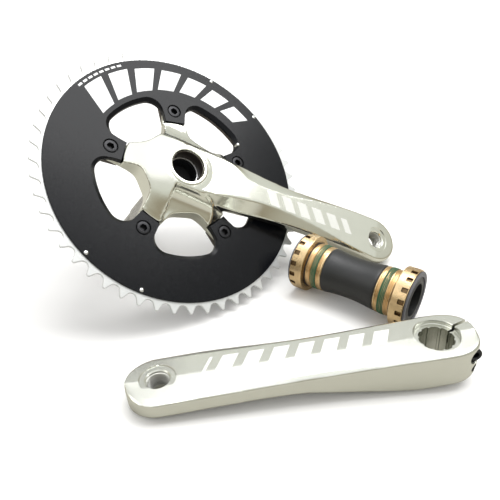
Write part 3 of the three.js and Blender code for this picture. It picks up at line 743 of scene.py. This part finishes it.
DRIVE_ARM = {
    "plus_edge": [(0, 21.5), (45, 20.5), (82, 18.8), (116, 19.5), (150, 20.2), (CRANK, PEDAL_RADIUS)],
    "plus_flat": [(0, 17.5), (34, 17.5), (54, 9.5), (86, 10.5), (115, 15.5), (150, 18), (CRANK, 17.6)],
    "plus_drop": [(0, 2.5), (45, 3), (90, 3.6), (150, 2.2), (CRANK, 1.8)],
    "plus_sag": [(0, 0), (CRANK, 0)],
    "minus_edge": [(0, 20), (40, 18), (74, 14.5), (112, 13.8), (150, 17), (CRANK, PEDAL_RADIUS)],
    "minus_flat": [(0, 16), (20, 15), (40, 10), (74, 4.8), (112, 7), (150, 14.5), (CRANK, 17.6)],
    "minus_drop": [(0, 5), (45, 7.5), (90, 4.5), (150, 2.2), (CRANK, 1.8)],
    "minus_sag": [(0, 0), (CRANK, 0)],
    "top": [(0, HUB_TOP), (24, HUB_TOP), (90, 17.6), (CRANK, 25)],
    "bottom": [(0, -2), (30, -2), (44, 1.2), (90, 3.5), (CRANK, 12)],
}
LEFT_ARM = {
    "plus_edge": [(0, 19.5), (82, 17.5), (140, 18.6), (CRANK, PEDAL_RADIUS)],
    "plus_flat": [(0, 17.5), (26, 16.5), (80, 14.5), (150, 14.5), (CRANK, 15)],
    "plus_drop": [(0, 2.4), (26, 2.6), (80, 3.6), (150, 3), (CRANK, 2.8)],
    "plus_sag": [(0, 1.4), (CRANK, 1.4)],
    "minus_edge": [(0, 19.5), (82, 17.8), (140, 20), (CRANK, PEDAL_RADIUS)],
    "minus_flat": [(0, 18), (26, 16.5), (80, 14.5), (150, 16), (CRANK, 16)],
    "minus_drop": [(0, 1.6), (26, 1.8), (80, 2.2), (150, 2.2), (CRANK, 2.2)],
    "minus_sag": [(0, 0), (CRANK, 0)],
    "top": [(0, 0), (CRANK, 0)],
    "bottom": [
        (-BOSS_REACH, -20), (-16, -27), (0, -BOSS_DEPTH), (22, -BOSS_DEPTH), (60, -22.6), (95, -17),
        (CRANK, -15.6),
    ],
}


def pedal_hole_tool(where, face):
    """Hole with a shallow seat ring round its mouth."""
    return lathe("tool", [
        (0, face - 40), (PEDAL_HOLE, face - 40), (PEDAL_HOLE, face - 1.4), (PEDAL_HOLE + 0.8, face - 0.6),
        (10.8, face - 0.6), (11.2, face), (11.4, face + 6), (0, face + 6),
    ], where, 72, (CRANK, 0))


def pedal_thread(name, where, low, high, body, material):
    """Thread ridges inside a pedal hole."""
    profile = [(PEDAL_HOLE + 0.3, low)]
    count = int((high - low) / PEDAL_THREAD_PITCH)
    valley, crest = PEDAL_HOLE - 0.05, PEDAL_HOLE - 0.75
    for i in range(count):
        z = low + PEDAL_THREAD_PITCH * i
        profile += [(valley, z + 0.15), (crest, z + 0.6), (valley, z + 1.1)]
    profile.append((PEDAL_HOLE + 0.3, low + PEDAL_THREAD_PITCH * count))
    present(lathe(name, profile, where, 72, (CRANK, 0)), body, material, sharp=20)


def drive_crank():
    recess = lathe("tool", [
        (44.5, TAB_TOP), (75, TAB_TOP), (75, HUB_TOP), (44.5, HUB_TOP),
    ], DRIVE, 180)
    spider = carve(spider_shape(), recess)
    arm = arm_shape("arm", DRIVE, 6, PEDAL_RADIUS, DRIVE_ARM)
    body = melted(joined([spider, arm]), FORGING_VOXEL, FORGING_SMOOTHING)
    body.name = "drive_crank_forging"
    hub = lathe("tool", [
        (0, -30), (HUB_BORE, -30), (HUB_BORE, HUB_TOP - 0.8), (HUB_BORE + 0.7, HUB_TOP + 0.1),
        (HUB_BORE + 0.7, HUB_TOP + 9), (0, HUB_TOP + 9),
    ], DRIVE, 96)
    holes = bolt_hole_tools(DRIVE, 12, -20, seat_radius=BOLT_HOLE)
    carve(body, joined([hub, holes, pedal_hole_tool(DRIVE, DRIVE_PEDAL_FACE)]))
    present(body, "drive_crank", POLISHED, ["drive_crank_arm"])
    lip = lathe("hub_lip", [
        (HUB_BORE, 13), (13.4, 13), (13.9, 15.4), (14.4, 15.9), (14.9, 15.3), (15.3, 15.4), (15.6, 15.1),
        (15.6, 16.0), (15.1, 16.3), (14.2, 16.4), (13, 16.2), (HUB_BORE + 0.2, 15.4),
    ], DRIVE, 128)
    present(lip, "drive_crank", POLISHED)
    pedal_thread("right_pedal_thread", DRIVE, 12.4, 23.2, "drive_crank", BORED)


def splined(outer, inner):
    """Outline of a splined shaft with broad lands and narrow grooves."""
    points = []
    for i in range(SPLINE_COUNT):
        for phase in (-0.36, -0.24, -0.12, 0, 0.12, 0.24, 0.36):
            points.append(polar(outer, (i + phase) * 360 / SPLINE_COUNT))
        for phase in (0.41, 0.5, 0.59):
            points.append(polar(inner, (i + phase) * 360 / SPLINE_COUNT))
    return points


def spindle():
    shaft = lathe("spindle_tube", [
        (SPINDLE_BORE, -91), (SPINDLE, -91.5), (SPINDLE, 4.7), (SPINDLE - 0.3, 5), (SPINDLE_MOUTH, 4.9),
        (SPINDLE_MOUTH, -6.9), (SPINDLE_BORE, -7),
    ], DRIVE, 96)
    present(shaft, "drive_crank", SPINDLE_STEEL, ["spindle"])
    outlines = [splined(10.9, 10.1), circle(SPINDLE_BORE - 0.05, 96)]
    spline = plate("spindle_spline", outlines, SPINDLE_END, SPINDLE_SHOULDER, DRIVE, 0.3)
    present(spline, "drive_crank", SPINDLE_STEEL)
    lining = lathe("spindle_lining", [
        (0, -6.8), (11.1, -6.8), (11.1, 4.2), (10.7, 4.4), (10.5, 3.8), (10.4, -5.8), (0, -5.8),
    ], DRIVE, 96)
    present(lining, "drive_crank", BLACK_PLASTIC)
    sleeve_ring = lathe("hub_lining", [
        (12.28, 5.4), (12.28, 14.6), (12.1, 14.8), (11.95, 14.4), (11.95, 5.6), (12.05, 5.4),
    ], DRIVE, 96)
    present(sleeve_ring, "drive_crank", DARK_WALL)
    washer = lathe("hub_washer", [
        (12.3, -5.6), (15.6, -5.6), (16, -5.2), (16, -4.3), (12.3, -4.3),
    ], DRIVE, 96)
    present(washer, "drive_crank", BLACK_PLASTIC, ["spindle_washer"])


# ---- left crank ----------------------------------------------------------------------------------

PINCH_X = -19
PINCH_HEIGHTS = {"upper": (-9.0, 1), "lower": (-18.4, -1)}
SLIT_WIDTH = 1.9
SLIT_OFFSET = -1
SLIT_SLANT = 0.3


def lying_along_y(obj, height, side):
    """Turns a lathe piece on to the clamp bolt's line, its top towards +Y or -Y."""
    turn = Matrix.Rotation(-math.pi / 2 * side, 4, "X")
    obj.data.transform(Matrix.Translation((PINCH_X, 0, height)) @ turn)
    return obj


def left_crank():
    arm = arm_shape("left_crank_forging", LEFT, -BOSS_REACH, BOSS_REACH, LEFT_ARM)
    body = melted(arm, FORGING_VOXEL, FORGING_SMOOTHING)
    bore = plate("tool", [splined(11.2, 10.4)], -40, 10, LEFT, 0.05)
    recess = lathe("tool", [
        (0, -3.5), (13.9, -3.5), (14.2, -3.2), (14.2, -0.5), (14.8, 0.2), (14.8, 8), (0, 8),
    ], LEFT)
    slit = box_tool((-45, 0), (SLIT_OFFSET - SLIT_WIDTH / 2, SLIT_OFFSET + SLIT_WIDTH / 2), (-60, 20), LEFT)
    slit.data.transform(Matrix.Rotation(SLIT_SLANT, 4, "Z"))
    pedal = pedal_hole_tool(LEFT, 0)
    pinches = []
    for height, side in PINCH_HEIGHTS.values():
        hole = lathe("tool", [
            (0, -40), (2.8, -40), (2.8, 8), (4.5, 8), (4.5, 14), (5.0, 15.5), (5.0, 40), (0, 40),
        ], LEFT, 48)
        pinches.append(lying_along_y(hole, height, side))
    for tool in (bore, recess, slit, pedal, *pinches):
        carve(body, tool)
    present(body, "left_crank", SATIN_MARKED, ["left_crank_arm"])
    pedal_thread("left_pedal_thread", LEFT, -12.2, -1.8, "left_crank", BORED)


def clamp_bolts():
    for name, (height, side) in PINCH_HEIGHTS.items():
        bolt = lathe("clamp_bolt_" + name, [
            (0, -13), (2.2, -13), (2.5, -12.6), (2.5, 9.4), (4.2, 9.4), (4.2, 13.8), (3.8, 14.4), (0, 14.4),
        ], LEFT, 48)
        carve(bolt, lathe("tool", [
            (0, 11.8), (2.3, 11.8), (2.3, 14), (2.8, 14.6), (2.8, 20), (0, 20),
        ], LEFT, 6))
        body = name + "_clamp_bolt"
        present(lying_along_y(bolt, height, side), body, BLACK_STEEL, ["pinch_bolt_" + name])
        washer = lathe("clamp_washer_" + name, [(2.8, 8.3), (4.2, 8.3), (4.2, 9.1), (2.8, 9.1)], LEFT, 48)
        lying_along_y(washer, height, side)
        present(washer, body, BRIGHT_STEEL, ["pinch_washer_" + name])


# ---- bottom bracket ------------------------------------------------------------------------------

def thread_rings(radius, start, end, depth=0.45):
    """Profile points of thread ridges from height start down to end."""
    points = []
    count = int((start - end) / CUP_THREAD_PITCH)
    for i in range(count):
        z = start - CUP_THREAD_PITCH * i
        for share, cut in ((0.15, 0), (0.55, depth), (0.95, 0)):
            points.append((radius - cut, z - share * CUP_THREAD_PITCH))
    return points


def cup(side, where):
    body = lathe(side + "_cup_shell", [
        (FLANGE - 0.9, -1.4), (FLANGE - 0.3, -1.6), (FLANGE, -2.2), (FLANGE, -10.9), (FLANGE - 0.5, -11.5),
        (18.6, -11.5), (18.4, -10.9), (THREAD - 1, -10.9), (THREAD - 1, -13), (THREAD, -13.3),
        *thread_rings(THREAD, -13.6, -24.4), (THREAD - 0.3, -25), (THREAD - 0.8, -25.5),
        (15.9, -25.5), (15.9, -8.7), (18.9, -8.7), (18.9, -1.4),
    ], where, 160)
    notches = []
    outline = [(NOTCH_FLOOR, -1.8), (26, -1.8), (26, 1.8), (NOTCH_FLOOR, 1.8)]
    for i in range(NOTCH_COUNT):
        notch = plate("tool", [outline], -6.4, -1.9, where, 0.3)
        notch.data.transform(Matrix.Rotation(2 * math.pi * i / NOTCH_COUNT, 4, "Z"))
        notches.append(notch)
    carve(body, joined(notches))
    present(body, "bottom_bracket", GOLD, [side + "_cup"], sharp=25)
    band = lathe(side + "_locker_band", [
        (THREAD - 0.6, -17.4), (THREAD + 0.15, -17.3),
        *thread_rings(THREAD + 0.25, -17.4, -21.4, depth=0.35),
        (THREAD + 0.1, -21.5), (THREAD - 0.6, -21.4),
    ], where, 160)
    present(band, "bottom_bracket", GREEN, [side + "_thread_band"], sharp=25)


def cup_end(side, where):
    rim = lathe(side + "_end_rim", [
        (17.3, -1.1), (21.1, -1.1), (21.2, -0.5), (20.8, -0.05), (20.2, 0), (19.4, -0.1),
        (18.9, -0.3), (18.2, -0.3), (17.8, 0), (17.3, -0.1),
    ], where, 160)
    present(rim, "bottom_bracket", GREY_PLASTIC, [side + "_rim_cover"])
    cover = lathe(side + "_lip_cover", [
        (12.3, -6), (13, -6), (13, -1.3), (16.8, -1.3), (16.8, -0.8), (16, -0.5), (15, -0.75), (14.2, -0.5),
        (13.5, -0.2), (12.7, -0.2), (12.3, -0.6),
    ], where, 128)
    present(cover, side + "_bearing", BLACK_PLASTIC, [side + "_dust_cover"])
    seal = lathe(side + "_shoulder_seal", [
        (17.3 + 0.5 * math.cos(math.pi * i / 8), -12.1 + 0.5 * math.sin(math.pi * i / 8)) for i in range(16)
    ], where, 128)
    present(seal, "bottom_bracket", RUBBER, [side + "_shell_seal"])


def bearing(side, where):
    inner = lathe(side + "_race_inner", [
        (13.3, -8.2), (13.5, -8.4), (14.6, -8.4), (14.6, -6.2), (14.25, -5.6), (14.12, -5),
        (14.25, -4.4), (14.6, -3.8), (14.6, -1.6), (13.5, -1.6), (13.3, -1.8),
    ], where, 96)
    present(inner, side + "_bearing", BRIGHT_STEEL, [side + "_inner_race"])
    outer = lathe(side + "_race_outer", [
        (17.1, -8.4), (18.4, -8.4), (18.6, -8.2), (18.6, -1.8), (18.4, -1.6), (17.1, -1.6),
        (17.1, -3.8), (17.4, -4.4), (17.5, -5), (17.4, -5.6), (17.1, -6.2),
    ], where, 96)
    present(outer, "bottom_bracket", BRIGHT_STEEL, [side + "_outer_race"])
    ball = []
    for i in range(13):
        angle = math.pi * i / 12
        ball.append((BALL_RADIUS * math.sin(angle), BALL_HEIGHT - BALL_RADIUS * math.cos(angle)))
    places = [polar(BALL_CIRCLE, 360 * i / BALL_COUNT) for i in range(BALL_COUNT)]
    parts = [lathe("ball", ball, where, 20, place) for place in places]
    parts.append(lathe("cage", [(15.3, -5.7), (16.2, -5.7), (16.2, -4.3), (15.3, -4.3)], where, 96))
    balls = joined(parts)
    balls.name = side + "_balls_and_cage"
    present(balls, side + "_balls", BRIGHT_STEEL, [side + "_ball_set"])


def sleeve():
    """Waisted tube between the cups, with short spigots inside them."""
    shoulder, spigot = 20.7, 27.7
    half = [
        (15.5, spigot - 0.4), (15.5, shoulder), (16.9, shoulder), (17.15, shoulder - 0.5),
        (17.1, shoulder - 2),
    ]
    waist = [(15.7 + 1.35 * abs(z / 18) ** 2.2, z) for z in range(-18, 19, 3)]
    profile = [(15.1, -spigot), (14, -spigot), (14, spigot), (15.1, spigot)]
    profile += half + waist[::-1] + [(r, -z) for r, z in half[::-1]]
    present(lathe("bracket_sleeve", profile, MIDDLE, 128), "bottom_bracket", BLACK_PLASTIC,
            ["shell_sleeve"])


# ---- stage ---------------------------------------------------------------------------------------

CAMERA_PLACE = (0.0032, -0.3337, 0.2369)
CAMERA_DOWN = 30.34
CAMERA_LENS = 37.35
FLOOR_SIZE = 2.4
FLOOR_COLOR = (0.93, 0.925, 0.91)
FLOOR_IN_METAL = (0.52, 0.5, 0.44)
SOFTBOX_PLACE = (0.525, 0.2, 1.4)
SOFTBOX_TARGET = (0.525, 0.2, 0)
SOFTBOX_SIZE = (1.65, 0.8)
SOFTBOX_POWER = 21
FILL_COLOR = (0.85, 0.85, 0.85)
ROOM_STOPS = [
    (0.0, (1.0, 1.0, 0.98)),
    (0.46, (0.9, 0.88, 0.82)),
    (0.52, (0.36, 0.31, 0.22)),
    (0.62, (0.5, 0.47, 0.38)),
    (0.76, (0.85, 0.86, 0.8)),
    (0.86, (0.92, 0.92, 0.88)),
    (0.92, (1.5, 1.5, 1.5)),
]


def floor():
    bpy.ops.mesh.primitive_plane_add(size=FLOOR_SIZE)
    plane = bpy.context.object
    plane.name = "floor"
    material, tree, shader = node_material("floor_white")
    glossy = add_node(tree, "ShaderNodeLightPath").outputs["Is Glossy Ray"]
    tree.links.new(mixed_color(tree, glossy, FLOOR_COLOR, FLOOR_IN_METAL), shader.inputs["Base Color"])
    shader.inputs["Roughness"].default_value = 0.75
    shader.inputs["Specular IOR Level"].default_value = 0.1
    plane.data.materials.append(material)


def area_light(name, place, target, size, power, color=(1, 1, 1)):
    data = bpy.data.lights.new(name, "AREA")
    data.shape = "RECTANGLE"
    data.size, data.size_y = size
    data.energy = power
    data.color = color
    light = bpy.data.objects.new(name, data)
    light.location = place
    light.rotation_euler = (Vector(target) - Vector(place)).to_track_quat("-Z", "Y").to_euler()
    bpy.context.scene.collection.objects.link(light)


def room_colors(tree):
    """What polished metal sees: a white floor, a warm dim band at the horizon and a pale room above it."""
    direction = add_node(tree, "ShaderNodeTexCoord").outputs["Generated"]
    height = add_node(tree, "ShaderNodeSeparateXYZ", {0: direction}).outputs["Z"]
    return ramp_of(tree, calculate(tree, "MULTIPLY_ADD", height, 0.5, 0.5), ROOM_STOPS)


def studio():
    """A big softbox overhead, a small side fill, and a room that is white to the camera only."""
    area_light("overhead", SOFTBOX_PLACE, SOFTBOX_TARGET, SOFTBOX_SIZE, SOFTBOX_POWER)
    area_light("side_fill", (-1.4, -0.3, 0.9), (0, 0, 0), (0.9, 0.9), 4, (1.0, 0.98, 0.95))
    world = bpy.data.worlds.new("room")
    bpy.context.scene.world = world
    world.use_nodes = True
    tree = world.node_tree
    path = add_node(tree, "ShaderNodeLightPath").outputs
    color = mixed_color(tree, path["Is Glossy Ray"], FILL_COLOR, room_colors(tree))
    color = mixed_color(tree, path["Is Camera Ray"], color, (1.1, 1.1, 1.1))
    background = tree.nodes["Background"]
    tree.links.new(color, background.inputs["Color"])


def camera():
    data = bpy.data.cameras.new("camera")
    data.lens = CAMERA_LENS
    data.sensor_width = 36
    data.clip_start = 0.01
    obj = bpy.data.objects.new("camera", data)
    obj.location = CAMERA_PLACE
    obj.rotation_euler = (math.radians(90 - CAMERA_DOWN), 0, 0)
    bpy.context.scene.collection.objects.link(obj)
    bpy.context.scene.camera = obj
    bpy.context.scene.view_settings.view_transform = "Standard"


outer_ring()
inner_ring()
chainring_bolts()
ring_pins()
disc_marks()
drive_crank()
spindle()
left_crank()
clamp_bolts()
for side_name, end_frame in (("right", RIGHT_END), ("left", LEFT_END)):
    cup(side_name, end_frame)
    cup_end(side_name, end_frame)
    bearing(side_name, end_frame)
sleeve()
floor()
studio()
camera()

bpy.context.view_layer.update()
